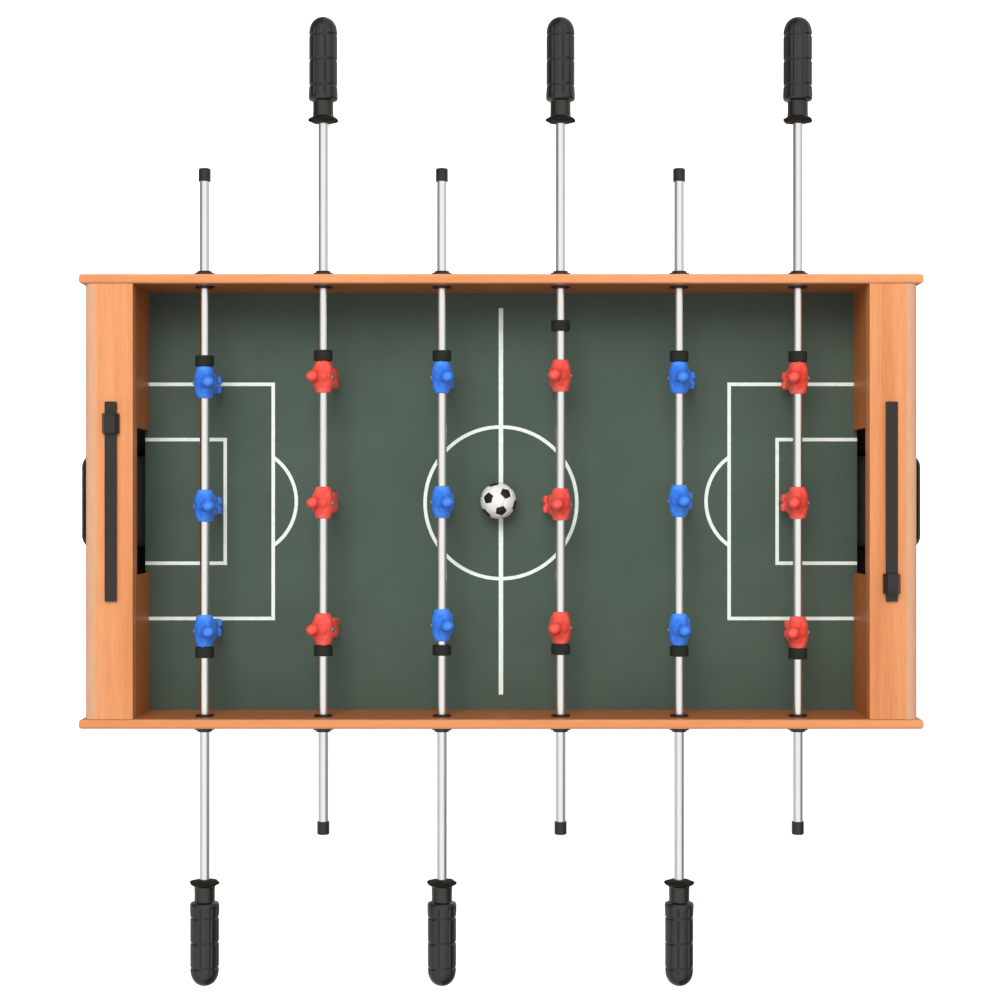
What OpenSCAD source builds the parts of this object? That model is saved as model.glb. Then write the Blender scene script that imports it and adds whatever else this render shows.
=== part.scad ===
// Small table football game: a maple-faced cabinet on four corner legs, six chromed rods with
// three men each, a scorer on each end cap and a ball cup behind each goal.
// Frame: the origin is on the floor under the middle of the pitch, +X runs along the pitch,
// +Y runs along the rods towards the red handles, and +Z is up. Millimetres.

/* [Cabinet] */
// Length of the two side rails, which overhang the end panels
rail_l = 690; // [684:1:710]
// Width of the cabinet over the side rails
cabinet_w = 372; // [368:1:380]
// Height of the rim above the floor
rim_z = 620; // [560:5:700]
// Height of the side rails
cabinet_h = 150; // [146:1:170]
// Thickness of the side rails and leg boards
board_t = 8; // [8:0.5:10]
// Distance between the outer faces of the two end panels
ends_l = 681; // [678:1:683]
// Width of the flat cap on each end
cap_w = 39.5; // [39:0.5:42]
// Depth of the pitch below the rim
pitch_drop = 75; // [73:1:80]
// Width of each goal mouth
goal_w = 122; // [110:1:130]
// Distance from the rim down to the top of the goal mouth
goal_drop = 20; // [18:1:24]

/* [Rods] */
// Distance between neighbouring rods
rod_gap = 98.2; // [98:0.1:99]
// Depth of the rod axes below the rim
rod_drop = 22.5; // [22:0.5:24]
// Outside diameter of a rod
rod_d = 8; // [7:0.5:8]
// Distance from the cabinet's centre line to the capped end of a rod
rod_far = 275.6; // [262:0.2:290]
// Distance from the cabinet's centre line to the tip of a handle
rod_near = 401; // [396:0.5:410]

/* [Men] */
// Width of a man along the rod
man_w = 26.5; // [24:0.5:26.5]
// Depth of a man's sole below the rod's axis
sole_drop = 42.5; // [40:0.5:42.5]
// Outside diameter of the rubber stops beside the outer men
stop_d = 15.5; // [13:0.5:15.5]
// Length of each rubber stop
stop_l = 8.7; // [6:0.1:8.7]

/* [Scoring and ball] */
// Length of each score track
track_l = 163; // [120:1:170]
// Width of each score track
track_w = 9.9; // [9:0.1:11]
// Diameter of the ball
ball_d = 30.6; // [28:0.2:31]
// Distance that each ball cup stands out from its end panel
cup_out = 27; // [25:0.5:32]
// Width of each ball cup
cup_w = 84; // [76:1:86]

/* [Legs] */
// Width of a leg board at the top
leg_top_w = 70; // [66:1:80]
// Width of a leg board at the floor
leg_foot_w = 46; // [40:1:66]

/* [Hidden] */
$fn = 64;
eps = 0.01;
RODS = [1:6];
ENDS = [["left", -1], ["right", 1]];
SIDES = [["front", -1], ["rear", 1]];
ROD_PARTS = ["tube", "handle", "end_cap", "men", "stops", "sleeves"];
NODES = concat(
    [for (s = SIDES) str("side_rail_", s[0])],
    [for (e = ENDS) str("end_panel_", e[0])],
    [for (e = ENDS) str("goal_wall_", e[0])],
    [for (e = ENDS) str("end_cap_", e[0])],
    ["pitch_board", "battens", "return_chutes", "return_cups", "score_tracks"],
    [for (e = ENDS) str("score_slider_", e[0])],
    [for (s = SIDES, e = ENDS) str("leg_", s[0], "_", e[0])],
    ["foot_boots", "bolts_and_screws", "rod_bushes", "ball"],
    [for (i = RODS, p = ROD_PARTS) str("rod_", i, "_", p)],
    ["rod_4_loose_stop"]
);
node = "all";

maple = [0.93, 0.65, 0.44];
felt_green = [0.30, 0.36, 0.32];
black = [0.13, 0.13, 0.13];
chrome = [0.88, 0.88, 0.88];
team_blue = [0.20, 0.48, 0.92];
team_red = [0.93, 0.27, 0.22];

cabinet_z = rim_z - cabinet_h;
outer_y = cabinet_w / 2;
inner_y = outer_y - board_t;
outer_x = ends_l / 2;
inner_x = outer_x - cap_w;
pitch_z = rim_z - pitch_drop;
pitch_t = 3;
edge_r = 2.2;           // rounding of the rails' top edges
rail_end_r = 2.5;       // rounding of the rails' ends, seen from above
panel_t = 4;
wall_t = 3;
cap_t = 15;
cap_round = 7.5;        // quarter-round on the outer edge of each end cap
batten = 12;
block_w = 20;

// Rods, men and bushes
rod_z = rim_z - rod_drop;
bore_d = rod_d - 2;     // inside diameter of the tube
fit = 0.05;             // running clearance on the radius
sleeve_d = rod_d + 2;
bush_d = sleeve_d + 2;
flange_d = 16.5;
flange_t = 3;
ring_d = 15.5;          // ring nut inside the rail
ring_t = 1.5;
sleeve_proud = 0.5;     // how far a sleeve stands out of its bush at each end
sleeve_lip_t = 1;
plug_l = 10.8;          // length of the cap on a rod's far end
plug_d = 10;
handle_l = 88.2;
handle_bore = 48;
// Where the front, middle and rear man of each rod sit along it, and how each is turned about +Y in degrees
men_y = [[-107.1, -3.5, 98.5], [-105.6, -1, 103], [-102.2, -0.5, 102.7],
         [-104.5, -2.4, 104], [-106, 0.4, 102.4], [-108.2, -1.2, 102.1]];
men_lean = [[2, 2, 2], [-16, -15, -16], [3, 2, 2], [-4, 5.5, -4], [-4, -6.5, -10], [-7, -2.5, -3.5]];
front_stop_gap = [0.2, 0.2, 3.2, 0.2, 0.2, 0.2];
rear_stop_gap = 0.2;
loose_stop_gap = 23.75;  // how far the loose stop has slid away from its man
axis_reach = 60;        // longer than any man's bore

// Score tracks and sliders
track_neck_w = 7.4;
track_neck_h = 1.6;
track_h = 3;
track_x = outer_x - 22;
slider_w = 14;
slider_l = 16.4;
slider_h = 7.5;
slider_gap = 0.3;
slider_y = [63.7, -67];

// Ball path and cups
cup_rim_z = rim_z - 120;
cup_floor_z = cup_rim_z - 20;
cup_wall = 2;
cup_corner = 12;
bezel_w = cup_w + 16;
bezel_h = 50;
window_top = cup_rim_z + 14;
chute_z = cup_floor_z + 4;
chute_y = 100;
chute_t = 3;
ball_x = -2.4;
ball_y = 0.5;
ball_lift = 0.3;

// Legs and fasteners
boot_h = 14;
boot_t = 2;
boot_floor = 4;
bolt_d = 6;
bolt_head_d = 14;
bolt_head_t = 2.2;
bolt_socket_d = 4.6;     // across the corners of the hexagonal socket
bolt_socket_t = 1.6;
nut_d = 12;
nut_t = 5;
bolt_rise = 14;         // height of the lower bolt above the rail's bottom edge
bolt_step = 30;
bolt_inset = 24;        // from the leg's outer corner to its bolts
screw_d = 2.6;
screw_head_d = 6;
screw_head_t = 1.6;
screw_slot_l = 3.6;
screw_slot_w = 0.8;
screw_slot_t = 1;

function rod_x(i) = (i - 3.5) * rod_gap;
function handle_side(i) = i % 2 == 1 ? -1 : 1;
function team_front(i) = i % 2 == 1 ? 1 : -1;
function team_color(i) = i % 2 == 1 ? team_blue : team_red;
function man_y(i, k) = men_y[i - 1][k + 1];
function arc(cx, cy, rx, ry, from, to, steps) =
    [for (n = [0:steps]) let (a = from + (to - from) * n / steps) [cx + rx * cos(a), cy + ry * sin(a)]];

// Helpers: sections drawn in 2D, then stretched along X or Y
module along_x(l) { rotate([90, 0, 90]) linear_extrude(l) children(); }
module along_y(l) { translate([0, l / 2, 0]) rotate([90, 0, 0]) linear_extrude(l) children(); }
module at_end(e) { mirror([e < 0 ? 1 : 0, 0, 0]) children(); }
module at_side(s) { mirror([0, s < 0 ? 1 : 0, 0]) children(); }
module block(from, to) { translate(from) cube(to - from); }

// A rectangle with its two top corners rounded
module rounded_top(w, h, r) {
    square([w, h - r]);
    translate([r, 0]) square([w - 2 * r, h]);
    for (x = [r, w - r]) translate([x, h - r]) circle(r);
}

// A rectangle with all four corners rounded, centred
module rounded_plate(l, w, r) {
    square([l, w - 2 * r], center = true);
    square([l - 2 * r, w], center = true);
    for (x = [-1, 1], y = [-1, 1]) translate([x * (l / 2 - r), y * (w / 2 - r)]) circle(r);
}

// Children are drawn along +Z, which becomes the way from the pitch to the rod's own handle
module on_rod(i) {
    translate([rod_x(i), 0, rod_z]) rotate([-90 * handle_side(i), 0, 0]) children();
}

module bolt_places() {
    for (x = [-1, 1], n = [0, 1])
        translate([x * (inner_x - bolt_inset), 0, cabinet_z + bolt_rise + n * bolt_step]) children();
}

module bezel_screw_places() {
    for (y = [-1, 1], z = [5, bezel_h - 5])
        translate([outer_x, y * (bezel_w / 2 - 4), cup_floor_z - 8 + z]) rotate([0, 90, 0]) children();
}

// Cabinet
module side_rail(s) {
    color(maple) at_side(s) difference() {
        intersection() {
            translate([-rail_l / 2, inner_y, cabinet_z])
                along_x(rail_l) rounded_top(board_t, cabinet_h, edge_r);
            translate([0, inner_y + board_t / 2, cabinet_z])
                linear_extrude(cabinet_h) rounded_plate(rail_l, board_t, rail_end_r);
        }
        for (i = RODS) translate([rod_x(i), inner_y - 1, rod_z])
            rotate([-90, 0, 0]) cylinder(d = bush_d + 2 * fit, h = board_t + 2);
        bolt_places() translate([0, inner_y - 1, 0])
            rotate([-90, 0, 0]) cylinder(d = bolt_d + 2 * fit, h = board_t + 2);
    }
}

module end_panel(e) {
    color(maple) at_end(e) difference() {
        block([outer_x - panel_t, -inner_y, cabinet_z], [outer_x, inner_y, rim_z - cap_t]);
        block([outer_x - panel_t - 1, -cup_w / 2 + cup_wall, cup_floor_z],
              [outer_x + 1, cup_w / 2 - cup_wall, window_top]);
        bezel_screw_places() cylinder(d = screw_d + 2 * fit, h = 20, center = true);
    }
}

module goal_wall(e) {
    color(maple) at_end(e) difference() {
        block([inner_x, -inner_y, cabinet_z], [inner_x + wall_t, inner_y, rim_z - cap_t]);
        block([inner_x - 1, -goal_w / 2, pitch_z - pitch_t - fit],
              [inner_x + wall_t + 1, goal_w / 2, rim_z - goal_drop]);
    }
}

module end_cap(e) {
    color(maple) at_end(e) translate([inner_x, 0, rim_z - cap_t]) along_y(2 * inner_y) {
        square([cap_w - cap_round, cap_t]);
        square([cap_w, cap_t - cap_round]);
        translate([cap_w - cap_round, cap_t - cap_round]) circle(cap_round);
    }
}

// The board has a tongue at each end that runs through the goal mouth
module pitch_board() {
    tongue_x = inner_x + wall_t;
    tongue_y = goal_w / 2 - fit;
    color(felt_green) {
        block([-inner_x, -inner_y, pitch_z - pitch_t], [inner_x, inner_y, pitch_z]);
        block([-tongue_x, -tongue_y, pitch_z - pitch_t], [tongue_x, tongue_y, pitch_z]);
    }
}

module battens() {
    top = pitch_z - pitch_t;
    run_x = inner_x - leg_top_w - 2;
    run_y = inner_y - leg_top_w - 2;
    color(maple) {
        for (s = [-1, 1]) at_side(s)
            block([-run_x, inner_y - batten, top - batten], [run_x, inner_y, top]);
        for (e = [-1, 1]) at_end(e)
            block([inner_x - batten, -run_y, top - batten], [inner_x, run_y, top]);
        for (s = [-1, 1], e = [-1, 1]) at_side(s) at_end(e)
            block([inner_x + wall_t, inner_y - block_w, cabinet_z + batten],
                  [outer_x - panel_t, inner_y, rim_z - cap_t]);
    }
}

// The gutter inside each end: two slopes run down to a floor that tips outwards to the cup
module return_chutes() {
    depth = outer_x - panel_t - inner_x - wall_t;
    half_floor = cup_w / 2 - cup_wall;
    slope_top = pitch_z - 6;
    color(black) for (e = [-1, 1]) at_end(e) {
        translate([inner_x + wall_t, 0, 0]) along_x(depth) polygon([
            [-chute_y, slope_top], [-half_floor, cup_floor_z], [half_floor, cup_floor_z],
            [chute_y, slope_top], [chute_y, slope_top - 2 * chute_t],
            [half_floor + chute_t, cup_floor_z - chute_t], [-half_floor - chute_t, cup_floor_z - chute_t],
            [-chute_y, slope_top - 2 * chute_t]
        ]);
        along_y(2 * half_floor) polygon([
            [inner_x + wall_t, cup_floor_z - 1], [inner_x + wall_t, chute_z + 2],
            [outer_x - panel_t, cup_floor_z + 0.5], [outer_x - panel_t, cup_floor_z - 1]
        ]);
    }
}

module cup_outline(inset) {
    w = cup_w - 2 * inset;
    r = cup_corner - inset;
    translate([-inset, -w / 2]) square([cup_out - cup_corner + inset, w]);
    translate([0, -w / 2 + r]) square([cup_out - inset, w - 2 * r]);
    for (y = [-1, 1]) translate([cup_out - inset - r, y * (w / 2 - r)]) circle(r);
}

module return_cups() {
    color(black) for (e = [-1, 1]) at_end(e) difference() {
        translate([outer_x, 0, 0]) {
            translate([0, 0, cup_floor_z - cup_wall])
                linear_extrude(cup_rim_z - cup_floor_z + cup_wall) cup_outline(0);
            translate([0, 0, cup_floor_z - 8 + bezel_h / 2]) rotate([90, 0, 90])
                linear_extrude(cup_wall) rounded_plate(bezel_w, bezel_h, 4);
        }
        translate([outer_x, 0, cup_floor_z]) linear_extrude(cup_rim_z) cup_outline(cup_wall);
        block([outer_x - 1, -cup_w / 2 + cup_wall, cup_floor_z],
              [outer_x + cup_wall + 1, cup_w / 2 - cup_wall, window_top]);
        bezel_screw_places() cylinder(d = screw_d + 2 * fit, h = 20, center = true);
    }
}

// Scorers: a T-shaped strip with a clip that slides along it
module score_tracks() {
    color(black) for (e = [-1, 1]) at_end(e) translate([track_x, 0, rim_z]) along_y(track_l) {
        translate([-track_neck_w / 2, 0]) square([track_neck_w, track_h]);
        translate([-track_w / 2, track_neck_h]) square([track_w, track_h - track_neck_h]);
    }
}

module score_slider(e) {
    y = slider_y[e < 0 ? 0 : 1];
    foot = slider_w / 2;
    crown = 4.2;
    color(black) translate([e * track_x, y, rim_z + slider_gap]) {
        along_y(slider_l) difference() {
            polygon([[-foot, 0], [-foot, 2.5], [-crown, slider_h], [crown, slider_h], [foot, 2.5], [foot, 0]]);
            translate([-track_neck_w / 2 - slider_gap, -1]) square([track_neck_w + 2 * slider_gap, 4]);
            translate([-track_w / 2 - slider_gap, track_neck_h - 2 * slider_gap])
                square([track_w + 2 * slider_gap, track_h - track_neck_h + 2 * slider_gap]);
        }
        translate([-crown, sign(y) * (slider_l / 2 - 0.8) - 0.8, slider_h - 1])
            cube([2 * crown, 1.6, 1.8]);
    }
}

// Legs: two boards meet at each corner inside the cabinet and taper towards the floor
module leg_board(l) {
    along_x(board_t) polygon([
        [0, boot_floor], [leg_foot_w - (leg_top_w - l), boot_floor], [l, cabinet_z - 20],
        [l, pitch_z - pitch_t], [0, pitch_z - pitch_t]
    ]);
}

module leg(s, e) {
    color(maple) at_side(s) at_end(e) difference() {
        union() {
            translate([inner_x, inner_y - board_t, 0]) rotate([0, 0, 90]) leg_board(leg_top_w);
            translate([inner_x, inner_y - board_t, 0]) rotate([0, 0, 180])
                leg_board(leg_top_w - board_t);
        }
        bolt_places() translate([0, inner_y - board_t - 1, 0])
            rotate([-90, 0, 0]) cylinder(d = bolt_d + 2 * fit, h = board_t + 2);
    }
}

module boot_outline(grow) {
    a = leg_foot_w + 2 + grow;
    t = board_t + grow;
    translate([-a, -t]) square([a + grow, t + grow]);
    translate([-t, -a]) square([t + grow, a + grow]);
}

module foot_boots() {
    color(black) for (s = [-1, 1], e = [-1, 1]) at_side(s) at_end(e)
        translate([inner_x, inner_y, 0]) difference() {
            linear_extrude(boot_h) boot_outline(boot_t);
            translate([0, 0, boot_floor]) linear_extrude(boot_h) boot_outline(0);
        }
}

module leg_bolt() {
    grip = 2 * board_t;
    rotate([90, 0, 0]) cylinder(d = bolt_d, h = grip + nut_t + 2);
    rotate([-90, 0, 0]) difference() {
        cylinder(d1 = bolt_head_d, d2 = bolt_head_d - 1.6, h = bolt_head_t);
        translate([0, 0, bolt_head_t - bolt_socket_t]) cylinder(d = bolt_socket_d, h = bolt_head_t, $fn = 6);
    }
}

module leg_nut() {
    rotate([90, 0, 0]) difference() {
        cylinder(d = nut_d, h = nut_t, $fn = 6);
        translate([0, 0, -1]) cylinder(d = bolt_d + 2 * fit, h = nut_t + 2);
    }
}

module bezel_screw() {
    translate([0, 0, -panel_t - 3]) cylinder(d = screw_d, h = panel_t + 3 + cup_wall);
    translate([0, 0, cup_wall]) difference() {
        cylinder(d1 = screw_head_d, d2 = screw_head_d - 1.4, h = screw_head_t);
        for (turn = [0, 90]) rotate([0, 0, turn])
            translate([-screw_slot_l / 2, -screw_slot_w / 2, screw_head_t - screw_slot_t])
                cube([screw_slot_l, screw_slot_w, screw_head_t]);
    }
}

module bolts_and_screws() {
    color(chrome) {
        for (s = [-1, 1]) at_side(s) bolt_places() {
            translate([0, outer_y, 0]) leg_bolt();
            translate([0, inner_y - board_t, 0]) leg_nut();
        }
        for (e = [-1, 1]) at_end(e) bezel_screw_places() bezel_screw();
    }
}

// Rod bushes: a flanged barrel through the rail and a ring nut that holds it from inside
module rod_bush() {
    difference() {
        union() {
            translate([0, 0, inner_y - ring_t]) cylinder(d = bush_d, h = board_t + ring_t + eps);
            translate([0, 0, outer_y]) cylinder(d = flange_d, h = flange_t);
        }
        cylinder(d = sleeve_d + 2 * fit, h = outer_y + flange_t + 1);
    }
    translate([0, 0, inner_y - ring_t]) difference() {
        cylinder(d = ring_d, h = ring_t);
        translate([0, 0, -1]) cylinder(d = bush_d + 2 * fit, h = ring_t + 2);
    }
}

module rod_bushes() {
    color(black) for (i = RODS, s = [-1, 1]) at_side(s)
        translate([rod_x(i), 0, rod_z]) rotate([-90, 0, 0]) rod_bush();
}

module rod_sleeves(i) {
    start = inner_y - ring_t - sleeve_proud;
    end = outer_y + flange_t + sleeve_proud;
    color(black) for (s = [-1, 1]) at_side(s) translate([rod_x(i), 0, rod_z]) rotate([-90, 0, 0])
        difference() {
            union() {
                translate([0, 0, start]) cylinder(d = sleeve_d, h = end - start);
                translate([0, 0, end - fit]) cylinder(d = bush_d, h = sleeve_lip_t);
            }
            translate([0, 0, start - 1]) cylinder(d = rod_d + 2 * fit, h = end - start + 4);
        }
}

// Rods
module rod_tube(i) {
    from = -rod_far + 1.5;
    to = rod_near - handle_l + handle_bore - 1;
    color(chrome) on_rod(i) translate([0, 0, from]) difference() {
        cylinder(d = rod_d, h = to - from);
        translate([0, 0, -1]) cylinder(d = bore_d, h = to - from + 2);
    }
}

module rod_end_cap(i) {
    edge = 1.2;
    color(black) on_rod(i) translate([0, 0, -rod_far]) rotate_extrude() polygon(concat(
        [[0, 0]], arc(plug_d / 2 - edge, edge, edge, edge, -90, 0, 4),
        [[plug_d / 2, plug_l], [rod_d / 2 + fit, plug_l], [rod_d / 2 + fit, 1.5], [0, 1.5]]
    ));
}

// Handle, drawn from its domed tip back to the rounded flange that stops the hand
module handle_profile() {
    grip_r = 11.7;
    neck_r = 7.5;
    dome = 15;
    grooves = [15.7, 36.4, 57.1];
    grip_end = 68.7;
    flange_s = 83.8;
    flange_r = 11.6;
    polygon(concat(
        arc(0, dome, grip_r, dome, -90, -6, 8),
        [for (g = grooves, p = [[-1.6, 0], [0, -1.4], [1.6, 0]]) [grip_r + p[1], g + p[0]]],
        [[grip_r + 0.3, grip_end - 2], [grip_r - 0.5, grip_end], [neck_r, grip_end + 2.5],
         [neck_r, flange_s - 5], [neck_r + 1.6, flange_s - 2.8]],
        arc(flange_r - 2.6, flange_s, 2.6, 2.6, -60, 60, 6),
        [[rod_d / 2 + 1.6, handle_l], [rod_d / 2 + fit, handle_l],
         [rod_d / 2 + fit, handle_l - handle_bore], [0, handle_l - handle_bore]]
    ));
}

module rod_handle(i) {
    flutes = 8;
    flute_d = 3.4;
    grip_r = 11.7;
    color(black) on_rod(i) translate([0, 0, rod_near]) rotate([180, 0, 0]) difference() {
        rotate_extrude() handle_profile();
        for (n = [1:flutes]) rotate([0, 0, n * 360 / flutes])
            translate([grip_r + 1.1, 0, 8]) cylinder(d = flute_d, h = 58);
    }
}

module stop_ring(y, bore = rod_d + 2 * fit) {
    translate([0, y, 0]) rotate([-90, 0, 0]) difference() {
        cylinder(d = stop_d, h = stop_l);
        translate([0, 0, -1]) cylinder(d = bore, h = stop_l + 2);
    }
}

module rod_stops(i) {
    color([0.1, 0.1, 0.1]) translate([rod_x(i), 0, rod_z]) {
        if (i != 4) stop_ring(man_y(i, 1) + man_w / 2 + rear_stop_gap);
        stop_ring(man_y(i, -1) - man_w / 2 - front_stop_gap[i - 1] - stop_l);
    }
}

module loose_stop() {
    y = man_y(4, 1) + man_w / 2 + loose_stop_gap;
    color([0.1, 0.1, 0.1]) translate([rod_x(4), 0, rod_z]) stop_ring(y);
}

// A man on his rod: a barrel chest round the tube, a round head and one leg block with its toe forward
module man(front) {
    end_d = 11.4;
    chest_d = 16.4;
    chest_w = 11;
    heel = 2;
    toe = 10.5;
    foot_w = 15;
    foot_h = 9;
    difference() {
        union() {
            hull() {
                rotate([90, 0, 0]) cylinder(d = end_d, h = man_w, center = true, $fn = 32);
                rotate([90, 0, 0]) cylinder(d = chest_d, h = chest_w, center = true, $fn = 32);
            }
            translate([front * 3, 0, 5]) cylinder(d = 7, h = 8);
            translate([front * 4, 0, 14.6]) sphere(5.6);
            hull() {
                translate([-5, -6.5, -9]) cube([10, 13, 3]);
                translate([front * 6 - 3.5, -6, 1 - sole_drop + foot_h]) cube([7, 12, 2]);
            }
            block([min(front * heel, front * toe), -foot_w / 2, -sole_drop],
                  [max(front * heel, front * toe), foot_w / 2, foot_h + 2 - sole_drop]);
        }
        rotate([90, 0, 0]) cylinder(d = rod_d + 2 * fit, h = axis_reach, center = true);
    }
}

module rod_men(i) {
    color(team_color(i)) for (k = [-1:1]) translate([rod_x(i), man_y(i, k), rod_z])
        rotate([0, men_lean[i - 1][k + 1], 0]) man(team_front(i));
}

module ball() {
    color("white") translate([ball_x, ball_y, pitch_z + ball_d / 2 + ball_lift]) sphere(ball_d / 2);
}

function shown(name) = node == "all" || node == name;

for (s = SIDES) if (shown(str("side_rail_", s[0]))) side_rail(s[1]);
for (e = ENDS) if (shown(str("end_panel_", e[0]))) end_panel(e[1]);
for (e = ENDS) if (shown(str("goal_wall_", e[0]))) goal_wall(e[1]);
for (e = ENDS) if (shown(str("end_cap_", e[0]))) end_cap(e[1]);
if (shown("pitch_board")) pitch_board();
if (shown("battens")) battens();
if (shown("return_chutes")) return_chutes();
if (shown("return_cups")) return_cups();
if (shown("score_tracks")) score_tracks();
for (e = ENDS) if (shown(str("score_slider_", e[0]))) score_slider(e[1]);
for (s = SIDES, e = ENDS) if (shown(str("leg_", s[0], "_", e[0]))) leg(s[1], e[1]);
if (shown("foot_boots")) foot_boots();
if (shown("bolts_and_screws")) bolts_and_screws();
if (shown("rod_bushes")) rod_bushes();
if (shown("ball")) ball();
for (i = RODS) if (shown(str("rod_", i, "_tube"))) rod_tube(i);
for (i = RODS) if (shown(str("rod_", i, "_handle"))) rod_handle(i);
for (i = RODS) if (shown(str("rod_", i, "_end_cap"))) rod_end_cap(i);
for (i = RODS) if (shown(str("rod_", i, "_men"))) rod_men(i);
for (i = RODS) if (shown(str("rod_", i, "_stops"))) rod_stops(i);
for (i = RODS) if (shown(str("rod_", i, "_sleeves"))) rod_sleeves(i);
if (shown("rod_4_loose_stop")) loose_stop();
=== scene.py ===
"""Looks of a small table football game: its materials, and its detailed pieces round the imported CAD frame.

Everything is in metres in the CAD frame: +X along the pitch, +Y along the rods, +Z up.
"""
import math

import bmesh
import bpy
from mathutils import Matrix, Vector


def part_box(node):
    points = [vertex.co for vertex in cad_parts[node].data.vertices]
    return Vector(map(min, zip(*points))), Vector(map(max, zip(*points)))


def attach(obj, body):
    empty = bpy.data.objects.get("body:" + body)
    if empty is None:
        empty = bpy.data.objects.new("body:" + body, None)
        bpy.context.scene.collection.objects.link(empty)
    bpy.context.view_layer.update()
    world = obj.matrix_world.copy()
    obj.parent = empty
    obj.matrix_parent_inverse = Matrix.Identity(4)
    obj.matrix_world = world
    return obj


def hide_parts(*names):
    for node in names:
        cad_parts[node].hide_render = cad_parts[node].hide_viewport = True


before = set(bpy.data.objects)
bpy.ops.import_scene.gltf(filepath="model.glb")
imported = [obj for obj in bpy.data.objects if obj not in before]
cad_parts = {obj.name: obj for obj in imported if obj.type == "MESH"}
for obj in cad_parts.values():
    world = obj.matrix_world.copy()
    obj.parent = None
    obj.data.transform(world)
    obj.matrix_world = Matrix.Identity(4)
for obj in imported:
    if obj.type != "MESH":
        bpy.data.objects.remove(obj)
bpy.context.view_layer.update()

MM = 0.001
RODS = range(1, 7)
RIM_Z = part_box("end_cap_left")[1].z
PITCH_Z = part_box("pitch_board")[1].z
# Where the front, middle and rear man of each rod sit along it, in mm, and each one's turn about +Y, in
# degrees
MAN_Y = {1: (-107.1, -3.5, 98.5), 2: (-105.6, -1.0, 103.0), 3: (-102.2, -0.5, 102.7),
         4: (-104.5, -2.4, 104.0), 5: (-106.0, 0.4, 102.4), 6: (-108.2, -1.2, 102.1)}
MAN_LEAN = {1: (2, 2, 2), 2: (-16, -15, -16), 3: (3, 2, 2), 4: (-4, 5.5, -4), 5: (-4, -6.5, -10),
            6: (-7, -2.5, -3.5)}


def shader_node(tree, kind, inputs, settings):
    """Adds a node. An input is another node's output to link from, or a value."""
    node = tree.nodes.new(kind)
    for key, value in settings.items():
        setattr(node, key, value)
    for key, value in (inputs or {}).items():
        if isinstance(value, bpy.types.NodeSocket):
            tree.links.new(value, node.inputs[key])
        else:
            node.inputs[key].default_value = value
    return node


# ---------------------------------------------------------------- camera, light and floor

def add_camera():
    """Straight above the pitch, as far up as the shrinking of the pitch walls says."""
    off_x, off_y = -1.0 * MM, 1.2 * MM
    height = 1.63
    view_at_rim = 0.8166
    camera = bpy.data.objects.new("camera", bpy.data.cameras.new("camera"))
    camera.location = (off_x, off_y, RIM_Z + height)
    camera.data.angle = 2 * math.atan(view_at_rim / 2 / height)
    bpy.context.scene.collection.objects.link(camera)
    bpy.context.scene.camera = camera


def add_light(name, spot, size, power):
    """A round soft light aimed at the table, not seen in reflections."""
    light = bpy.data.lights.new(name, "AREA")
    light.shape = "DISK"
    light.size = size
    light.energy = power
    lamp = bpy.data.objects.new(name, light)
    lamp.location = spot
    lamp.rotation_euler = (Vector((0, 0, 0.5)) - Vector(spot)).to_track_quat("-Z", "Y").to_euler()
    lamp.visible_glossy = False
    bpy.context.scene.collection.objects.link(lamp)


def add_world(zenith, dim_side, bright_side, floor_glow):
    """A white studio ceiling that falls off to dimmer walls, with two opposite corners darker than the
    other two. What lies below the horizon is a little brighter than the walls."""
    world = bpy.data.worlds.new("studio")
    world.use_nodes = True
    tree = world.node_tree

    def node(kind, inputs=None, **settings):
        return shader_node(tree, kind, inputs, settings)

    way = node("ShaderNodeSeparateXYZ", {0: node("ShaderNodeTexCoord").outputs["Generated"]}).outputs
    quarter = node("ShaderNodeMath", {0: way["X"], 1: way["Y"]}, operation="MULTIPLY").outputs[0]

    def blend(value, start, end, low, high, kind="SMOOTHSTEP"):
        """Goes from low to high as the value goes from start to end."""
        spans = {"Value": value, "From Min": start, "From Max": end, "To Min": low, "To Max": high}
        return node("ShaderNodeMapRange", spans, interpolation_type=kind).outputs[0]

    wall = blend(quarter, -0.08, 0.08, dim_side, bright_side)
    glow = blend(way["Z"], -0.7, 0.0, floor_glow, 0.0, "LINEAR")
    base = node("ShaderNodeMath", {0: wall, 1: glow}, operation="ADD").outputs[0]
    rise = blend(way["Z"], 0.12, 0.95, base, zenith)
    tree.nodes["Background"].inputs["Color"].default_value = (1, 1, 1, 1)
    tree.links.new(rise, tree.nodes["Background"].inputs["Strength"])
    bpy.context.scene.world = world


def add_studio():
    add_world(zenith=0.97, dim_side=0.16, bright_side=0.55, floor_glow=0.2)
    add_light("soft_above", (-0.4, 1.6, 3.5), 1.9, 84)
    bpy.context.scene.view_settings.view_transform = "Standard"
    bpy.context.scene.view_settings.look = "None"


def studio_piece(name, verts, faces, tone, sheen, glow):
    """A surface of the studio: plain and matte, glowing white, and not seen in reflections."""
    mesh = bpy.data.meshes.new(name)
    mesh.from_pydata(verts, [], faces)
    piece = bpy.data.objects.new(name, mesh)
    bpy.context.scene.collection.objects.link(piece)
    material = bpy.data.materials.new(f"{name}_white")
    material.use_nodes = True
    inputs = material.node_tree.nodes["Principled BSDF"].inputs
    inputs["Base Color"].default_value = tone
    inputs["Roughness"].default_value = 0.9
    inputs["Specular IOR Level"].default_value = sheen
    inputs["Emission Color"].default_value = (1, 1, 1, 1)
    inputs["Emission Strength"].default_value = glow
    mesh.materials.append(material)
    piece.visible_glossy = False
    return piece


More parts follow.
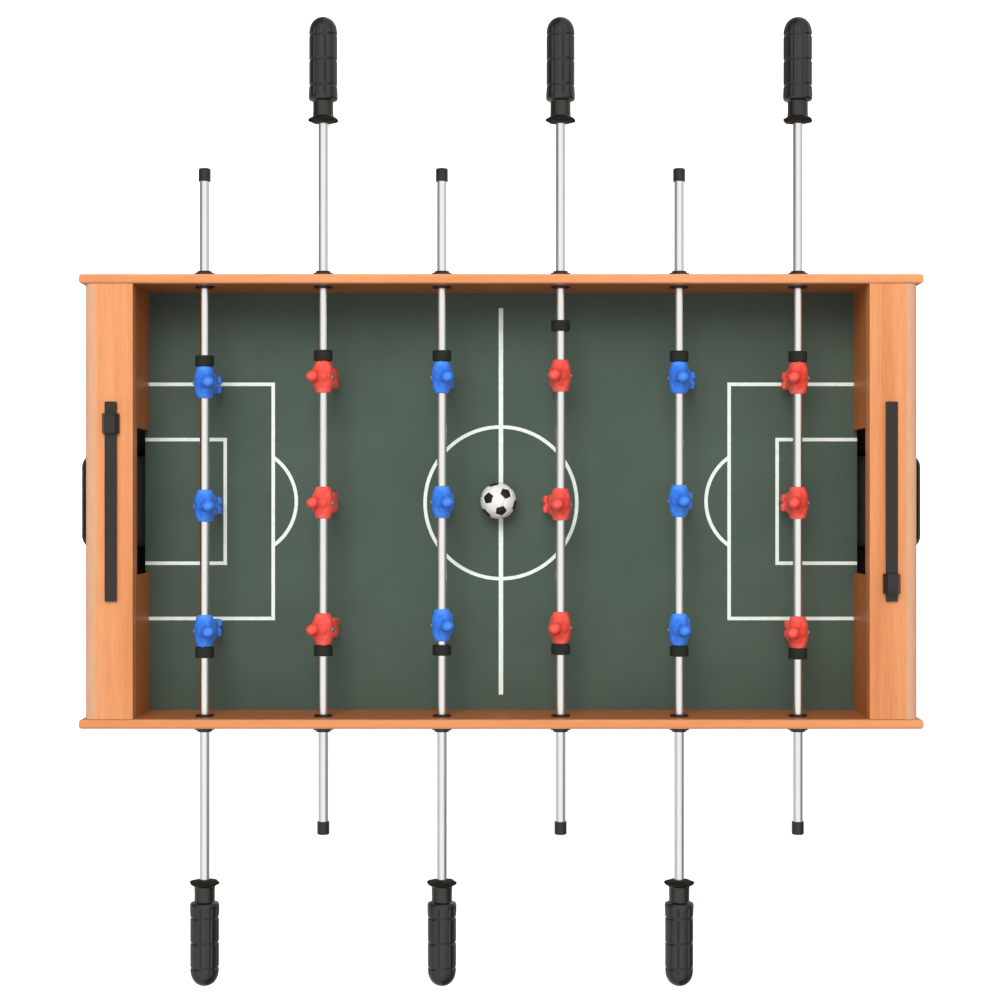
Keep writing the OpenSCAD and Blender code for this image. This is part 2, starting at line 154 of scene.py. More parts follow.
def add_floor():
    half = 9.0
    corners = [(-half, -half, 0), (half, -half, 0), (half, half, 0), (-half, half, 0)]
    floor = studio_piece("floor", corners, [(0, 1, 2, 3)], (0.97, 0.97, 0.96, 1), sheen=0.5, glow=0.5)


def add_backdrop():
    """A white wall far round the table, seen behind it and giving no light."""
    sides, radius, height = 64, 8.9, 9.0
    turns = [2 * math.pi * n / sides for n in range(sides)]
    verts = [(radius * math.cos(a), radius * math.sin(a), z) for a in turns for z in (0.0, height)]
    faces = [(2 * n, 2 * n + 1, (2 * n + 3) % (2 * sides), (2 * n + 2) % (2 * sides)) for n in range(sides)]
    wall = studio_piece("backdrop", verts, faces, (0, 0, 0, 1), sheen=0.0, glow=1.0)
    wall.visible_diffuse = wall.visible_shadow = wall.visible_transmission = False


add_camera()
add_studio()
add_floor()
add_backdrop()


# ---------------------------------------------------------------- materials

def linear(r, g, b):
    """A linear colour from 0-255 display values."""
    def channel(v):
        v /= 255
        return v / 12.92 if v <= 0.04045 else ((v + 0.055) / 1.055) ** 2.4
    return (channel(r), channel(g), channel(b), 1)


class Finish:
    """One procedural material: a Principled shader and short helpers for its textures, which stay with
    the piece."""

    def __init__(self, name, **values):
        self.material = bpy.data.materials.new(name)
        self.material.use_nodes = True
        self.tree = self.material.node_tree
        self.shader = self.tree.nodes["Principled BSDF"]
        for key, value in values.items():
            self.shader.inputs[key.replace("_", " ")].default_value = value
        self.coords = self.tree.nodes.new("ShaderNodeTexCoord").outputs["Object"]

    def node(self, kind, inputs=None, **settings):
        return shader_node(self.tree, kind, inputs, settings)

    def noise(self, scale, detail=4, roughness=0.55, stretch=(1, 1, 1), distortion=0.0, offset=(0, 0, 0)):
        """Noise with so many grains a metre, stretched along the axes whose stretch is under 1."""
        mapped = self.node("ShaderNodeMapping", {
            "Vector": self.coords, "Scale": stretch, "Location": offset}).outputs[0]
        return self.node("ShaderNodeTexNoise", {
            "Vector": mapped, "Scale": scale, "Detail": detail,
            "Roughness": roughness, "Distortion": distortion}).outputs["Fac"]

    def ramp(self, factor, stops):
        """Colours a texture. Each stop is (position from 0 to 1, colour)."""
        node = self.node("ShaderNodeValToRGB", {"Fac": factor})
        elements = node.color_ramp.elements
        while len(elements) < len(stops):
            elements.new(0.5)
        for element, (position, colour) in zip(elements, stops):
            element.position = position
            element.color = colour
        return node.outputs["Color"]

    def grey(self, factor, low, high, start=0.3, end=0.7):
        """Maps a texture to a number between low and high."""
        return self.node("ShaderNodeMapRange", {
            "Value": factor, "From Min": start, "From Max": end,
            "To Min": low, "To Max": high}).outputs["Result"]

    def mix(self, factor, a, b, blend="MIX"):
        """Blends two colours; the sockets 0, 6 and 7 are the colour mode's factor, A and B."""
        node = self.node("ShaderNodeMix", data_type="RGBA", blend_type=blend)
        for socket, value in ((node.inputs[0], factor), (node.inputs[6], a), (node.inputs[7], b)):
            if isinstance(value, bpy.types.NodeSocket):
                self.tree.links.new(value, socket)
            else:
                socket.default_value = value
        return node.outputs[2]

    def colour(self, socket):
        self.tree.links.new(socket, self.shader.inputs["Base Color"])

    def roughness(self, socket):
        self.tree.links.new(socket, self.shader.inputs["Roughness"])

    def bump(self, *layers):
        """Each layer is (height socket, strength, distance in metres)."""
        normal = None
        for height, strength, distance in layers:
            inputs = {"Height": height, "Strength": strength, "Distance": distance}
            if normal:
                inputs["Normal"] = normal
            normal = self.node("ShaderNodeBump", inputs).outputs["Normal"]
        self.tree.links.new(normal, self.shader.inputs["Normal"])


def wood(name, grain, dark, mid, light, rough=(0.38, 0.54), painted_light_zones=()):
    """Foil-faced board whose grain runs along one axis. A zone paints a highlight or shade: it blends
    another tone in between two distances
    in mm from the middle plane of an axis: (axis, start, end, blend at start, blend at end, colour)."""
    along = "XYZ".index(grain)

    def stretched(low):
        return tuple(low if axis == along else 1.0 for axis in range(3))

    f = Finish(name, Specular_IOR_Level=0.35)
    streaks = f.noise(95, 6, 0.62, stretched(0.035), 0.5)
    bands = f.noise(24, 3, 0.5, stretched(0.06), 0.9, (0.3, 0.1, 0.2))
    pores = f.noise(900, 3, 0.6, stretched(0.05))
    grain_colour = f.ramp(streaks, [(0.30, dark), (0.47, mid), (0.60, light), (0.75, mid)])
    band_colour = f.ramp(bands, [(0.35, dark), (0.5, mid), (0.68, light)])
    base = f.mix(0.45, grain_colour, band_colour)
    if painted_light_zones:
        apart = f.node("ShaderNodeSeparateXYZ", {0: f.coords}).outputs
    # each zone blends a painted highlight or painted shade into the base colour
    for axis, start, end, first, last, tone in painted_light_zones:
        out = f.node("ShaderNodeMath", {0: apart[axis]}, operation="ABSOLUTE").outputs[0]
        base = f.mix(f.grey(out, first, last, start * MM, end * MM), base, tone)
    fleck = f.grey(pores, 0.92, 1.02, 0.35, 0.6)
    shade = f.node("ShaderNodeCombineColor", {"Red": fleck, "Green": fleck, "Blue": fleck}).outputs["Color"]
    f.colour(f.mix(1.0, base, shade, "MULTIPLY"))
    f.roughness(f.grey(streaks, *rough))
    f.bump((pores, 0.10, 0.15 * MM), (streaks, 0.06, 0.3 * MM))
    return f.material


def maple(name, grain, painted_light_zones=()):
    return wood(name, grain, linear(198, 120, 70), linear(212, 138, 87), linear(222, 151, 102), painted_light_zones=painted_light_zones)


def pitch_green():
    f = Finish("pitch_print", Specular_IOR_Level=0.3)
    weave = f.noise(1500, 4, 0.6)
    mottle = f.noise(16, 4, 0.55)
    scuffs = f.noise(120, 5, 0.7, (1.0, 0.15, 1.0), 0.8)
    green = f.ramp(mottle, [(0.3, linear(67, 81, 71)), (0.7, linear(74, 88, 77))])
    worn = f.mix(f.grey(scuffs, 0.0, 0.10, 0.58, 0.8), green, linear(100, 112, 102))
    f.colour(f.mix(f.grey(weave, 0.0, 0.18, 0.35, 0.7), worn, linear(54, 68, 60)))
    f.roughness(f.grey(scuffs, 0.52, 0.66))
    f.bump((weave, 0.12, 0.10 * MM))
    return f.material


def line_white():
    f = Finish("line_print", Specular_IOR_Level=0.3)
    wear = f.noise(180, 4, 0.6)
    f.colour(f.ramp(wear, [(0.30, linear(214, 222, 214)), (0.6, linear(228, 234, 226))]))
    f.roughness(f.grey(wear, 0.5, 0.62))
    f.bump((wear, 0.05, 0.03 * MM))
    return f.material


def chrome():
    f = Finish("chrome_plate", Metallic=1.0)
    smears = f.noise(30, 3, 0.5, (1.0, 0.2, 1.0))
    f.colour(f.ramp(smears, [(0.3, linear(243, 243, 240)), (0.7, linear(248, 248, 245))]))
    f.roughness(f.grey(smears, 0.16, 0.24))
    f.bump((smears, 0.02, 0.02 * MM))
    return f.material


def black_plastic(name, low, high, rough=(0.38, 0.52), grain=1600, depth=0.06, shine=0.5):
    f = Finish(name, Specular_IOR_Level=shine)
    spark = f.noise(grain, 3, 0.6)
    haze = f.noise(45, 4, 0.65)
    f.colour(f.ramp(haze, [(0.3, linear(*low)), (0.72, linear(*high))]))
    f.roughness(f.grey(haze, *rough))
    f.bump((spark, 0.15, depth * MM))
    return f.material


def man_plastic(name, deep, main, pale):
    f = Finish(name, Specular_IOR_Level=0.45, Coat_Weight=0.3, Coat_Roughness=0.14)
    patches = f.noise(110, 3, 0.55)
    fine = f.noise(1300, 3, 0.6)
    f.colour(f.ramp(patches, [(0.28, linear(*deep)), (0.5, linear(*main)), (0.74, linear(*pale))]))
    f.roughness(f.grey(patches, 0.34, 0.44))
    f.bump((fine, 0.06, 0.05 * MM))
    return f.material


def ball_leather(name, low, high):
    f = Finish(name, Coat_Weight=0.15, Coat_Roughness=0.25)
    scuffs = f.noise(320, 4, 0.65)
    pebbles = f.noise(2200, 2, 0.5)
    f.colour(f.ramp(scuffs, [(0.3, linear(*low)), (0.6, linear(*high))]))
    f.roughness(f.grey(scuffs, 0.32, 0.50))
    f.bump((pebbles, 0.20, 0.08 * MM))
    return f.material


def zinc():
    f = Finish("zinc_plate", Metallic=1.0)
    frost = f.noise(600, 4, 0.6)
    f.colour(f.ramp(frost, [(0.3, linear(176, 176, 172)), (0.7, linear(206, 206, 200))]))
    f.roughness(f.grey(frost, 0.28, 0.45))
    f.bump((frost, 0.08, 0.05 * MM))
    return f.material


CAP_EDGE_HIGHLIGHT = linear(204, 158, 126)        # painted highlight on the foil's rounded outer stretch
CAP_RIM_SHADE = linear(158, 116, 88)          # painted shade on its outermost edge
INNER_FACE_SHADE = linear(150, 84, 42)        # painted shade on the rails' inner faces
MAPLE_LEG = maple("maple_leg", "Z")
MAPLE_END = maple("maple_end", "Y")
# The cap's zones paint a pale highlight on the rounded outer stretch and painted shade on the outermost
# edge.
MAPLE_CAP = maple("maple_cap", "Y", [("X", 329.5, 332.0, 0.0, 0.8, CAP_EDGE_HIGHLIGHT),
                                     ("X", 338.6, 340.0, 0.0, 0.6, CAP_RIM_SHADE)])
# The rail's zone paints shade down its inner faces.
MAPLE_RAIL = maple("maple_rail", "X", [("Y", 178.0, 178.6, 0.7, 0.0, INNER_FACE_SHADE)])
# The goal walls get a darker, redder copy of the maple: painted shade for the dim inner walls.
MAPLE_WALL_SHADED = wood("maple_wall_shaded", "Y", linear(176, 98, 42), linear(190, 108, 50), linear(202, 122, 62))
BARE = wood("bare_softwood", "X", linear(190, 150, 104), linear(214, 176, 126), linear(230, 198, 152),
            (0.6, 0.75))
PITCH = pitch_green()
LINE = line_white()
CHROME = chrome()
GRIP = black_plastic("grip_black", (14, 14, 11), (21, 21, 18), (0.17, 0.24), 1500, 0.04, 0.72)
FLANGE_BLACK = black_plastic("flange_black", (12, 12, 10), (20, 20, 17), (0.62, 0.74), 1500, 0.06, 0.3)
MOULDED = black_plastic("moulded_black", (14, 14, 12), (22, 22, 19), (0.25, 0.36), 1800, 0.05, 0.6)
RUBBER = black_plastic("rubber_black", (25, 28, 22), (36, 39, 32), (0.6, 0.75), 1200, 0.08, 0.3)
TRACK = black_plastic("track_black", (27, 21, 16), (35, 28, 22), (0.3, 0.42), 1800, 0.05, 0.5)
BLUE = man_plastic("man_blue", (40, 104, 212), (54, 124, 230), (76, 146, 243))
RED = man_plastic("man_red", (220, 58, 48), (235, 79, 66), (247, 104, 88))
BALL_WHITE = ball_leather("ball_white", (214, 214, 208), (232, 232, 226))
BALL_BLACK = ball_leather("ball_black", (12, 12, 11), (22, 22, 20))
ZINC = zinc()


# ---------------------------------------------------------------- CAD nodes that stay

def soften(node, width):
    """Rounds a CAD node's sharp edges with modifiers."""
    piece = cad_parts[node]
    weld = piece.modifiers.new("weld", "WELD")
    weld.merge_threshold = 0.002 * MM
    bevel = piece.modifiers.new("edges", "BEVEL")
    bevel.width = width
    bevel.segments = 2
    bevel.limit_method = "ANGLE"
    bevel.angle_limit = math.radians(40)


def dress(node, material, soft=0.0):
    """Gives a CAD node its material and, if wanted, rounded edges."""
    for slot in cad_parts[node].material_slots:
        slot.material = material
    if soft:
        soften(node, soft)


for side in ("front", "rear"):
    dress(f"side_rail_{side}", MAPLE_RAIL)
    for end in ("left", "right"):
        dress(f"leg_{side}_{end}", MAPLE_LEG)
for end in ("left", "right"):
    dress(f"end_panel_{end}", MAPLE_END)
    dress(f"goal_wall_{end}", MAPLE_WALL_SHADED)
    dress(f"end_cap_{end}", MAPLE_CAP)
    dress(f"score_slider_{end}", MOULDED, 0.7 * MM)
dress("pitch_board", PITCH)
dress("battens", BARE)
dress("return_chutes", MOULDED)
dress("return_cups", MOULDED, 0.5 * MM)
dress("score_tracks", TRACK, 0.6 * MM)
dress("foot_boots", MOULDED, 0.6 * MM)
dress("bolts_and_screws", ZINC)
dress("rod_bushes", MOULDED, 0.4 * MM)
dress("rod_4_loose_stop", RUBBER, 0.8 * MM)
for i in RODS:
    dress(f"rod_{i}_tube", CHROME)
    dress(f"rod_{i}_end_cap", MOULDED)
    dress(f"rod_{i}_stops", RUBBER, 0.8 * MM)
    dress(f"rod_{i}_sleeves", MOULDED)


# ---------------------------------------------------------------- helpers for new pieces

def mesh_from(name, verts, faces, materials, smooth=True):
    """A mesh of points in metres."""
    mesh = bpy.data.meshes.new(name)
    mesh.from_pydata([tuple(v) for v in verts], [], faces)
    for material in materials:
        mesh.materials.append(material)
    mesh.polygons.foreach_set("use_smooth", [smooth] * len(mesh.polygons))
    mesh.update()
    return mesh


def place(name, mesh, body, matrix=Matrix.Identity(4), replaced=()):
    """Puts a new piece on a body, and hides the CAD nodes that it stands for."""
    piece = bpy.data.objects.new(name, mesh)
    piece.matrix_world = matrix
    bpy.context.scene.collection.objects.link(piece)
    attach(piece, body)
    if replaced:
        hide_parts(*replaced)
    return piece


def bump_curve(x, centre, width):
    """1 at centre, falling smoothly to 0 at a distance of width."""
    t = min(abs(x - centre) / width, 1.0)
    return (1 - t * t) ** 2


def smoothstep(x, start, end):
    t = min(max((x - start) / (end - start), 0.0), 1.0)
    return t * t * (3 - 2 * t)


def rod_axis(i):
    """The x and z of a rod's axis."""
    low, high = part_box(f"rod_{i}_tube")
    return (low.x + high.x) / 2, (low.z + high.z) / 2


# ---------------------------------------------------------------- printed lines on the pitch

# In mm: how far out each box's long side lies and half its length, then the arcs, the centre circle, half
# the halfway line's length, and half the widths of lines
PENALTY_X, PENALTY_Y = 194.7, 100.0
GOAL_X, GOAL_Y = 235.7, 52.8
ARC_X, ARC_R = 221.0, 46.0
CIRCLE_X, CIRCLE_Y, CIRCLE_R = -0.2, -1.2, 64.8
HALFWAY_Y = 165.0
LINE_HALF, HALFWAY_HALF = 1.5, 1.9


def line_mesh():
    """Closed strips of paint, 0.1 mm thick: boxes, arcs, the centre circle and the halfway line."""
    wall_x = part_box("goal_wall_right")[0].x
    board_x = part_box("pitch_board")[1].x
    thick, lift, layer = 0.10 * MM, 0.02 * MM, 0.02 * MM
    verts, faces = [], []

    def strip(points, closed, level, half=LINE_HALF * MM):
        """A ribbon of paint along points, each with its sideways direction. Higher levels lie on top."""
        base = len(verts)
        low, high = PITCH_Z + lift, PITCH_Z + thick + level * layer
        for (x, y), (nx, ny) in points:
            for side, z in ((-1, low), (1, low), (1, high), (-1, high)):
                verts.append((x + side * half * nx, y + side * half * ny, z))
        count = len(points)
        for n in range(count if closed else count - 1):
            a, b = base + 4 * n, base + 4 * ((n + 1) % count)
            for k in range(4):
                faces.append((a + k, b + k, b + (k + 1) % 4, a + (k + 1) % 4))
        if not closed:
            faces.append(tuple(base + k for k in (0, 1, 2, 3)))
            faces.append(tuple(base + 4 * (count - 1) + k for k in (3, 2, 1, 0)))

    def arc(cx, cy, r, start, end, level, closed=False):
        steps = 96
        turns = [math.radians(start + (end - start) * n / steps) for n in range(steps + (not closed))]
        strip([((cx + r * math.cos(a), cy + r * math.sin(a)), (math.cos(a), math.sin(a))) for a in turns],
              closed, level)

    def box_of_lines(sign, end_x, depth_x, half_y, level):
        """Three sides of a box, with mitred corners."""
        strip([((sign * end_x, half_y), (0, 1)), ((sign * depth_x, half_y), (-sign, 1)),
               ((sign * depth_x, -half_y), (-sign, -1)), ((sign * end_x, -half_y), (0, -1))], False, level)

    for sign in (-1, 1):
        box_of_lines(sign, wall_x, PENALTY_X * MM, PENALTY_Y * MM, 0)
        box_of_lines(sign, board_x, GOAL_X * MM, GOAL_Y * MM, 0)
        reach = math.degrees(math.acos((ARC_X - PENALTY_X) / ARC_R))
        middle = 180 if sign > 0 else 0
        arc(sign * ARC_X * MM, 0, ARC_R * MM, middle - reach, middle + reach, 1)
    arc(CIRCLE_X * MM, CIRCLE_Y * MM, CIRCLE_R * MM, 0, 360, 1, True)
    halfway = [((CIRCLE_X * MM, y * MM), (-1, 0)) for y in (-HALFWAY_Y, HALFWAY_Y)]
    strip(halfway, False, 2, HALFWAY_HALF * MM)
    return mesh_from("pitch_lines", verts, faces, [LINE], False)


place("pitch_lines", line_mesh(), "table")


# ---------------------------------------------------------------- handles

# In mm, with lengths measured from the tip; the flange is a list of (length, radius)
GRIP_R, NECK_R, HANDLE_L = 11.7, 8.4, 88.2
RINGS = (15.7, 36.4, 57.1)
GRIP_END, DOME = 68.7, 15.0
BORE_R, BORE_END = 4.06, 42.0
MATT_START = 83.0
FLANGE = [(78.0, 8.4), (82.2, 8.6), (83.2, 9.3), (83.8, 10.8), (84.3, 11.7), (85.0, 12.0), (86.0, 11.9),
          (86.8, 11.0), (87.5, 8.8), (88.0, 5.2)]


def handle_radius(s, turn):
    """Radius at length s. The grip has rings and eight long grooves, and the flange is scalloped."""
    if s > FLANGE[0][0]:
        radius = next(r0 + (r1 - r0) * (s - s0) / (s1 - s0)
                      for (s0, r0), (s1, r1) in zip(FLANGE, FLANGE[1:]) if s <= s1)
        return radius + 0.55 * math.cos(6 * turn) * smoothstep(radius, 8.4, 10.8)
    if s > GRIP_END:
        return GRIP_R - (GRIP_R - NECK_R) * smoothstep(s, GRIP_END, GRIP_END + 1.6)
    if s < DOME:
        radius = GRIP_R * math.sqrt(max(1 - ((DOME - s) / DOME) ** 2.5, 0.0))
    else:
        radius = GRIP_R + 0.35 * smoothstep(s, RINGS[-1], 66.0) - 0.5 * smoothstep(s, 67.6, GRIP_END)
    radius -= 0.75 * max(bump_curve(s, ring, 1.1) for ring in RINGS)
    between = min(abs(s - ring) for ring in RINGS)
    run = smoothstep(s, 8.0, 14.0) * (1 - smoothstep(s, 64.5, 67.0)) * smoothstep(between, 0.7, 1.9)
    groove = (turn / math.radians(45)) % 1.0
    facet = 1 - (2 * ((2 * groove) % 1.0) - 1) ** 2
    return radius - run * (1.3 * bump_curve(min(groove, 1 - groove), 0.0, 0.12) + 0.26 * facet - 0.15)


def handle_mesh():
    """A closed skin round the handle and its blind bore, with closer rings where the radius changes."""
    around = 160
    along = [0.12, 0.5, 1.1, 1.9, 2.9, 4.1, 5.5, 7.0, 8.6, 10.2, 11.8, 13.0]
    along += [13.6 + 0.45 * n for n in range(int((GRIP_END - 13.8) / 0.45) + 1)]
    along += [GRIP_END + extra for extra in (0.0, 0.2, 0.5, 0.8, 1.1, 1.4, 1.7, 2.6, 4.5, 6.5, 8.0)]
    along += [77.6, 78.6, 79.2, 79.8, 80.4, 81.0, 81.5, 82.0, 82.5, 83.0]
    along += [83.6, 84.2, 84.8, 85.4, 86.0, 86.5, 87.0, 87.5, 88.0]
    verts, faces = [(0, 0, 0)], []
    for s in along:
        for k in range(around):
            turn = 2 * math.pi * k / around
            r = handle_radius(s, turn)
            wave = 0.35 * math.cos(6 * turn) * smoothstep(s, 82.0, 84.0) * (1 - smoothstep(s, 86.0, 88.0))
            verts.append((r * math.cos(turn), s + wave, r * math.sin(turn)))
    for s in (HANDLE_L - 0.1, BORE_END):
        for k in range(around):
            turn = 2 * math.pi * k / around
            verts.append((BORE_R * math.cos(turn), s, BORE_R * math.sin(turn)))
    verts.append((0, BORE_END, 0))
    rings = (len(verts) - 2) // around
    for k in range(around):
        faces.append((0, 1 + k, 1 + (k + 1) % around))
    for n in range(rings - 1):
        for k in range(around):
            a, b = 1 + n * around + k, 1 + n * around + (k + 1) % around
            faces.append((a, a + around, b + around, b))
    last = 1 + (rings - 1) * around
    for k in range(around):
        faces.append((len(verts) - 1, last + (k + 1) % around, last + k))
    mesh = mesh_from("handle", [Vector(v) * MM for v in verts], faces, [GRIP, FLANGE_BLACK])
    for face in mesh.polygons:
        face.material_index = int(face.center.y > MATT_START * MM)
    return mesh


HANDLE = handle_mesh()
# how each handle happens to be turned on its rod, in degrees
HANDLE_TURN = {1: -11, 2: -12, 3: -13, 4: -10, 5: -9, 6: -15}
for i in RODS:
    x, z = rod_axis(i)
    low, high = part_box(f"rod_{i}_handle")
    rear = high.y > 0
    tip = high.y if rear else low.y
    facing = Matrix.Rotation(math.pi if rear else 0, 4, "Z")
    roll = Matrix.Rotation(math.radians(HANDLE_TURN[i]), 4, "Y")
    place(f"rod_{i}_grip", HANDLE, f"rod_{i}",
          Matrix.Translation((x, tip, z)) @ facing @ roll, [f"rod_{i}_handle"])


# ---------------------------------------------------------------- men

def capsule(bm, start, end, r0, r1=None, squash=(1, 1, 1)):
    """A rounded limb from start to end, in mm."""
    r1 = r0 if r1 is None else r1
    steps = 9
    start, end = Vector(start), Vector(end)
    for n in range(steps + 1):
        t = n / steps
        r = r0 + (r1 - r0) * t
        centre = start.lerp(end, t)
        blob(bm, centre, (r * squash[0], r * squash[1], r * squash[2]))


def blob(bm, centre, radii):
    """A ball stretched to three radii."""
    made = bmesh.ops.create_icosphere(bm, subdivisions=3, radius=1.0)
    bmesh.ops.scale(bm, vec=radii, verts=made["verts"])
    bmesh.ops.translate(bm, vec=centre, verts=made["verts"])


def brick(bm, low, high, round_by=0.0):
    """A box between two corners, with rounded edges if wanted."""
    made = bmesh.ops.create_cube(bm, size=1.0)
    size = Vector(high) - Vector(low)
    bmesh.ops.scale(bm, vec=size, verts=made["verts"])
    bmesh.ops.translate(bm, vec=(Vector(high) + Vector(low)) / 2, verts=made["verts"])
    if round_by:
        edges = {e for v in made["verts"] for e in v.link_edges}
        bmesh.ops.bevel(bm, geom=list(edges), offset=round_by, segments=4, profile=0.5, affect="EDGES")


def barrel(bm, half_l, end_r, middle_r):
    """A round form along Y, thickest in the middle and cut flat at both ends."""
    around, steps = 64, 40
    rings = []
    for n in range(steps + 1):
        y = half_l * (2 * n / steps - 1)
        r = end_r + (middle_r - end_r) * math.cos(math.pi * y / (2 * half_l + 0.001)) ** 0.8
        turns = [2 * math.pi * k / around for k in range(around)]
        rings.append([bm.verts.new((r * math.cos(a), y, r * math.sin(a))) for a in turns])
    for a, b in zip(rings, rings[1:]):
        for k in range(around):
            bm.faces.new((a[k], a[(k + 1) % around], b[(k + 1) % around], b[k]))
    bm.faces.new(rings[0][::-1])
    bm.faces.new(rings[-1])


def man_form():
    """A moulded player facing +X, with the rod along Y through the chest. Millimetres."""
    bm = bmesh.new()
    barrel(bm, 13.2, 5.9, 8.7)
    for side in (-1, 1):
        capsule(bm, (2.6, side * 9.0, 3.8), (7.0, side * 5.2, -2.4), 2.9, 2.3)
        capsule(bm, (7.0, side * 5.2, -2.4), (7.6, side * 1.2, -1.2), 2.2, 2.0)
    # shoulders, neck, head and nose
    for side in (-1, 1):
        capsule(bm, (3.2, 0, 9.2), (0.8, side * 7.8, 2.2), 5.2, 6.0)
    capsule(bm, (1.2, 0, 3.5), (4.4, 0, 12.2), 8.0, 4.9)
    blob(bm, (4.8, 0, 13.2), (5.0, 4.5, 5.2))
    blob(bm, (4.2, 0, 14.0), (4.9, 4.8, 4.6))
    blob(bm, (9.5, 0, 12.6), (0.8, 0.7, 0.9))
    # waist, belt and shorts
    capsule(bm, (0.5, 0, -4.0), (0.9, 0, -12.0), 7.2, 6.0, (0.92, 1.2, 1))
    brick(bm, (-5.2, -7.8, -13.6), (7.0, 7.8, -11.8), 0.8)
    capsule(bm, (1.0, -5.4, -14.5), (1.2, 5.4, -14.5), 4.2)
    brick(bm, (-4.8, -8.8, -23.0), (7.8, 8.8, -12.5), 2.6)
    # legs, socks and shoes on one block
    brick(bm, (0.6, -3.2, -37.0), (6.2, 3.2, -19.0), 1.0)
    for side in (-1, 1):
        capsule(bm, (1.8, side * 4.0, -20.0), (3.6, side * 3.9, -29.0), 4.0, 3.5)
        capsule(bm, (3.6, side * 3.9, -28.0), (4.2, side * 3.8, -36.0), 3.5, 3.2)
        brick(bm, (1.4, side * 3.9 - 3.5, -42.4), (10.4, side * 3.9 + 3.5, -34.6), 2.0)
    brick(bm, (2.0, -4.0, -42.0), (8.4, 4.0, -35.5), 0.8)
    return bm


def man_mesh():
    """The player's shapes fused by a voxel remesh and smoothed, as a moulding is."""
    bm = man_form()
    bmesh.ops.recalc_face_normals(bm, faces=bm.faces)
    rough = bpy.data.meshes.new("man_rough")
    bm.to_mesh(rough)
    bm.free()
    worker = bpy.data.objects.new("man_worker", rough)
    bpy.context.scene.collection.objects.link(worker)
    fuse = worker.modifiers.new("fuse", "REMESH")
    fuse.mode = "VOXEL"
    fuse.voxel_size = 0.42
    soften_form = worker.modifiers.new("soften", "SMOOTH")
    soften_form.factor = 0.5
    soften_form.iterations = 4
    thin = worker.modifiers.new("thin", "DECIMATE")
    thin.ratio = 0.32
    evaluated = worker.evaluated_get(bpy.context.evaluated_depsgraph_get())
    mesh = bpy.data.meshes.new_from_object(evaluated)
    mesh.transform(Matrix.Scale(MM, 4))
    mesh.polygons.foreach_set("use_smooth", [True] * len(mesh.polygons))
    bpy.data.objects.remove(worker)
    return mesh


def coloured(mesh, name, material):
    """A copy of a mesh in one material."""
    copy = mesh.copy()
    copy.name = name
    copy.materials.clear()
    copy.materials.append(material)
    return copy


def screw_mesh():
    """A pan head with a pointed socket, its axis along -X and its underside at the origin. Millimetres."""
    bm = bmesh.new()
    profile = [(2.2, 0.0), (2.2, 0.5), (2.0, 0.95), (1.5, 1.3), (0.8, 1.45)]
    around = 32
    for r, h in profile:
        for k in range(around):
            turn = 2 * math.pi * k / around
            bm.verts.new((-h, r * math.cos(turn), r * math.sin(turn)))
    bm.verts.ensure_lookup_table()
    for n in range(len(profile) - 1):
        for k in range(around):
            a, b = n * around + k, n * around + (k + 1) % around
            bm.faces.new([bm.verts[v] for v in (a, b, b + around, a + around)])
    bm.faces.new([bm.verts[k] for k in range(around - 1, -1, -1)])
    top = [bm.verts[(len(profile) - 1) * around + k] for k in range(around)]
    crown = bm.faces.new(top)
    bm.normal_update()
    bmesh.ops.inset_region(bm, faces=[crown], thickness=0.15)
    pit = bmesh.ops.poke(bm, faces=[crown])
    for v in pit["verts"]:
        v.co.x += 0.9
    bmesh.ops.recalc_face_normals(bm, faces=bm.faces)
    mesh = bpy.data.meshes.new("man_screw")
    bm.to_mesh(mesh)
    bm.free()
    mesh.transform(Matrix.Scale(MM, 4))
    mesh.materials.append(ZINC)
    mesh.polygons.foreach_set("use_smooth", [True] * len(mesh.polygons))
    return mesh


MAN = man_mesh()
MAN_BLUE = coloured(MAN, "man_blue", BLUE)
MAN_RED = coloured(MAN, "man_red", RED)
SCREW = screw_mesh()
SCREW_SEAT = (-8.4 * MM, 0, 0.5 * MM)       # where the screw meets a man's back
for i in RODS:
    x, z = rod_axis(i)
    blue = i % 2 == 1
    facing = Matrix.Rotation(0 if blue else math.pi, 4, "Z")
    for who, y, turn in zip(("front", "middle", "rear"), MAN_Y[i], MAN_LEAN[i]):
        lean = Matrix.Rotation(math.radians(turn), 4, "Y")
        spot = Matrix.Translation((x, y * MM, z)) @ lean @ facing
        place(f"rod_{i}_man_{who}", MAN_BLUE if blue else MAN_RED, f"rod_{i}",
              spot, [f"rod_{i}_men"])
        place(f"rod_{i}_man_screw_{who}", SCREW, f"rod_{i}",
              spot @ Matrix.Translation(SCREW_SEAT))


# ---------------------------------------------------------------- ball

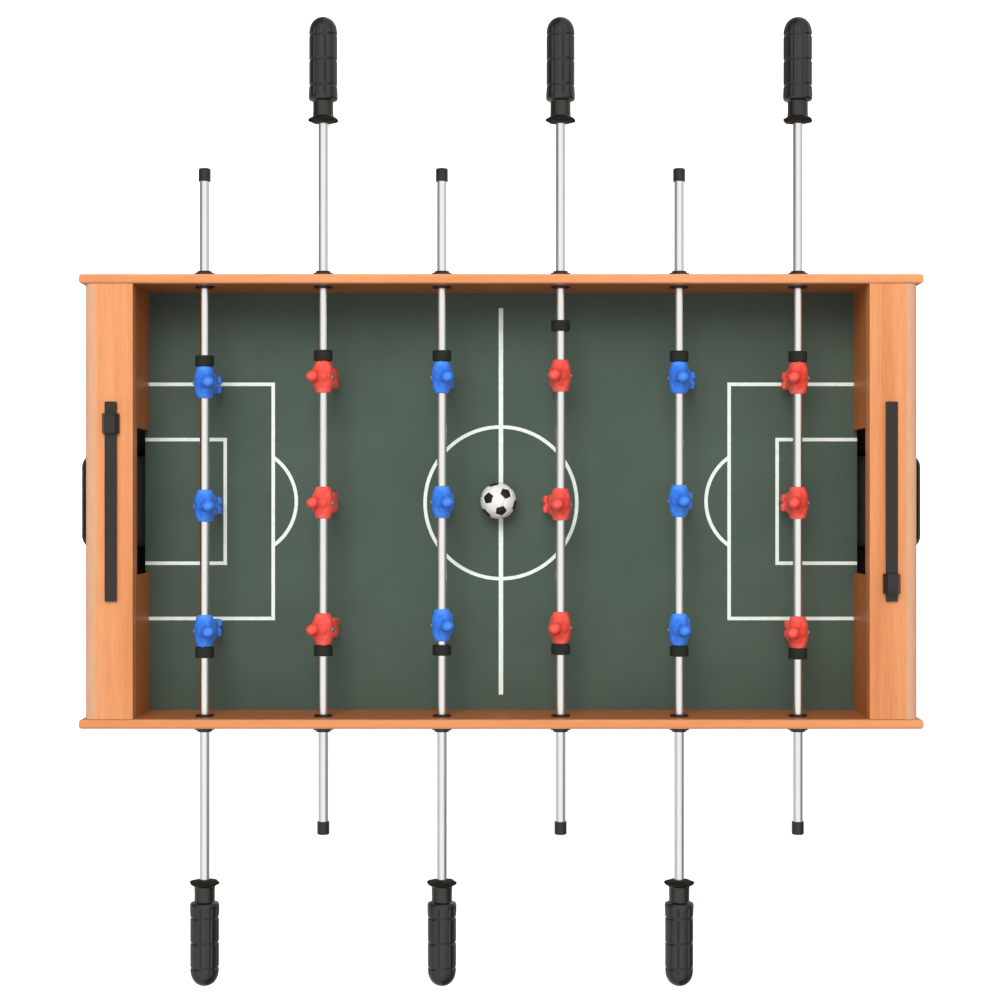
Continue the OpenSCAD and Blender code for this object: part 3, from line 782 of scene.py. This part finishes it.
def ball_mesh(radius):
    """Thirty-two cushioned panels of a truncated icosahedron, with seams between them."""
    golden = (1 + math.sqrt(5)) / 2
    corners = [Vector(p).normalized() for a in (-1, 1) for b in (-golden, golden)
               for p in ((0, a, b), (a, b, 0), (b, 0, a))]
    near = corners[0].dot(min(corners[1:], key=lambda c: (c - corners[0]).length)) - 0.01
    links = {n: [m for m in range(12) if m != n and corners[n].dot(corners[m]) > near] for n in range(12)}

    def third(a, b):
        return corners[a].lerp(corners[b], 1 / 3)

    def ordered(points, axis):
        u = (points[0] - axis * points[0].dot(axis)).normalized()
        v = axis.cross(u)
        return sorted(points, key=lambda p: math.atan2(p.dot(v), p.dot(u)))

    panels = [(ordered([third(n, m) for m in links[n]], corners[n]), 1) for n in range(12)]
    for a in range(12):
        for b in links[a]:
            for c in links[b]:
                if a < b < c and c in links[a]:
                    axis = (corners[a] + corners[b] + corners[c]).normalized()
                    points = [third(p, q) for p in (a, b, c) for q in (a, b, c) if p != q]
                    panels.append((ordered(points, axis), 0))
    steps = 7
    bm = bmesh.new()
    for points, tone in panels:
        centre = sum(points, Vector()) / len(points)
        count = len(points)

        def spot(ring, edge, along):
            """A point on one of the panel's rings, pushed out to the ball's surface."""
            a, b = points[edge % count], points[(edge + 1) % count]
            p = centre.lerp(a.lerp(b, along), ring / steps)
            seam = smoothstep(ring / steps, 0.80, 1.0)
            return bm.verts.new(p.normalized() * radius * (1 - 0.028 * seam ** 2))

        hub = spot(0, 0, 0)
        rings = [[hub]]
        for ring in range(1, steps + 1):
            rings.append([spot(ring, e, n / ring) for e in range(count) for n in range(ring)])
        for ring in range(1, steps + 1):
            inner, outer = rings[ring - 1], rings[ring]
            for e in range(count):
                for n in range(ring):
                    o0 = outer[e * ring + n]
                    o1 = outer[(e * ring + n + 1) % len(outer)]
                    i0 = inner[(e * (ring - 1) + n) % len(inner)]
                    face = bm.faces.new((i0, o0, o1))
                    face.material_index = tone
                    if n < ring - 1:
                        i1 = inner[(e * (ring - 1) + n + 1) % len(inner)]
                        face = bm.faces.new((i0, o1, i1))
                        face.material_index = tone
    bmesh.ops.remove_doubles(bm, verts=bm.verts, dist=0.004 * MM)
    bmesh.ops.recalc_face_normals(bm, faces=bm.faces)
    mesh = bpy.data.meshes.new("ball")
    bm.to_mesh(mesh)
    bm.free()
    for material in (BALL_WHITE, BALL_BLACK):
        mesh.materials.append(material)
    mesh.polygons.foreach_set("use_smooth", [True] * len(mesh.polygons))
    # three black panels stand round the top, where a white one lies
    second = links[0][0]
    last = next(m for m in links[0] if m in links[second])
    top = (corners[0] + corners[second] + corners[last]).normalized()
    upright = top.rotation_difference(Vector((0, 0, 1)))
    mesh.transform(upright.to_matrix().to_4x4())
    black = upright @ corners[0]
    mesh.transform(Matrix.Rotation(math.radians(45) - math.atan2(black.y, black.x), 4, "Z"))
    return mesh


low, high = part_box("ball")
place("game_ball", ball_mesh((high.z - low.z) / 2), "ball",
      Matrix.Translation((low + high) / 2), ["ball"])
